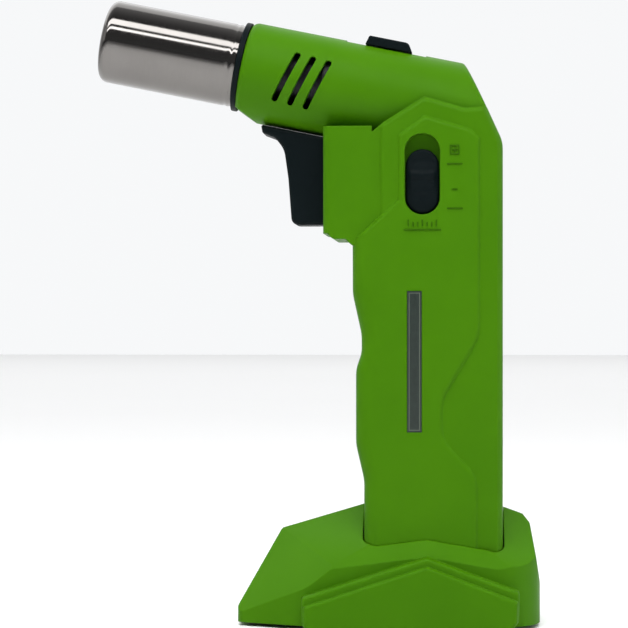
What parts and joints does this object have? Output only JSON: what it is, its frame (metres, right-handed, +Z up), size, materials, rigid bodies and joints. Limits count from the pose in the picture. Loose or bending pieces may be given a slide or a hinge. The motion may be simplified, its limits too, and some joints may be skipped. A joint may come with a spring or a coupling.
{
  "type": "butane torch",
  "caption": "Hand-held butane torch with a stainless flame tube, trigger igniter, flow slider and lock, standing in a moulded socket base.",
  "frame": {"origin": "centre of the bounding box, on the surface that the stand rests on", "axes": "+Z up; the nozzle points towards -X and rises; +X is the back of the handle; -Y is the torch's left side, with the flow slider"},
  "size_m": [0.126, 0.054, 0.1774],
  "materials": {
    "body_green": "satin",
    "dark_plastic": "satin",
    "stainless": "brushed",
    "steel": "satin",
    "black_steel": "blackened",
    "brass": "satin",
    "nylon": "moulded",
    "ceramic": "smooth",
    "rubber": "matte",
    "wire_red": "smooth",
    "label_black": "printed"
  },
  "bodies": {
    "stand": {"stand": "body_green"},
    "trigger": {"trigger": "dark_plastic", "piezo_plunger": "nylon"},
    "gas_lever": {"gas_lever": "steel"},
    "outlet_stem": {"outlet_stem": "brass"},
    "flow_slider": {"slider_plate": "body_green", "slider_knob": "dark_plastic"},
    "adjuster": {"adjuster_ring": "dark_plastic"},
    "lock": {"lock_button": "dark_plastic", "lock_bar": "steel"},
    "refill_stem": {"refill_stem": "brass"},
    "torch": {"left_shell": "body_green", "right_shell": "body_green", "shell_screws": "steel", "label_plate": "label_black", "nozzle_tube": "stainless", "nozzle_collar": "dark_plastic", "flame_holder": "steel", "mixing_tube": "brass", "burner_head": "brass", "jet_body": "brass", "gas_jet": "brass", "burner_bracket": "black_steel", "spark_insulator": "ceramic", "electrode": "steel", "ignition_wire": "wire_red", "gas_hose": "rubber", "piezo_body": "dark_plastic", "lever_pin": "steel", "outlet_valve": "brass", "outlet_spring": "steel", "valve_nut": "brass", "valve_seal": "rubber", "gas_filter": "nylon", "dip_tube": "nylon", "tank_body": "nylon", "tank_cap": "nylon", "refill_valve": "brass", "refill_spring": "steel", "refill_seal": "rubber"}
  },
  "joints": [
    {"name": "torch_lift", "type": "slide", "parent": "stand", "child": "torch", "axis": [0, 0, 1], "range_m": [0, 0.035]},
    {"name": "trigger_pull", "type": "slide", "parent": "torch", "child": "trigger", "axis": [0.9799, 0, -0.1994], "range_m": [0, 0.006], "stiffness_N_per_m": 1500, "springref_m": -0.003},
    {"name": "lever_lift", "type": "hinge", "parent": "torch", "child": "gas_lever", "pos_m": [0.0455, 0, 0.1084], "axis": [0, 1, 0], "range_deg": [0, 5]},
    {"name": "stem_lift", "type": "slide", "parent": "torch", "child": "outlet_stem", "axis": [0, 0, 1], "range_m": [0, 0.0011], "deforming": ["outlet_spring"]},
    {"name": "flow_slide", "type": "slide", "parent": "torch", "child": "flow_slider", "axis": [0, 0, 1], "range_m": [0, 0.004]},
    {"name": "adjuster_turn", "type": "hinge", "parent": "torch", "child": "adjuster", "pos_m": [0.033, 0, 0.1], "axis": [0, 0, 1], "range_deg": [0, 18.2]},
    {"name": "lock_slide", "type": "slide", "parent": "torch", "child": "lock", "axis": [-0.9799, 0, 0.1994], "range_m": [0, 0.003]},
    {"name": "refill_press", "type": "slide", "parent": "torch", "child": "refill_stem", "axis": [0, 0, 1], "range_m": [0, 0.0015], "stiffness_N_per_m": 1200, "springref_m": -0.001, "deforming": ["refill_spring"]}
  ],
  "couplings": [
    {"joint": "lever_lift", "follows": "trigger_pull", "rad_per_m": 14.5},
    {"joint": "stem_lift", "follows": "trigger_pull", "ratio": 0.18125},
    {"joint": "adjuster_turn", "follows": "flow_slide", "rad_per_m": 79.069}
  ]
}
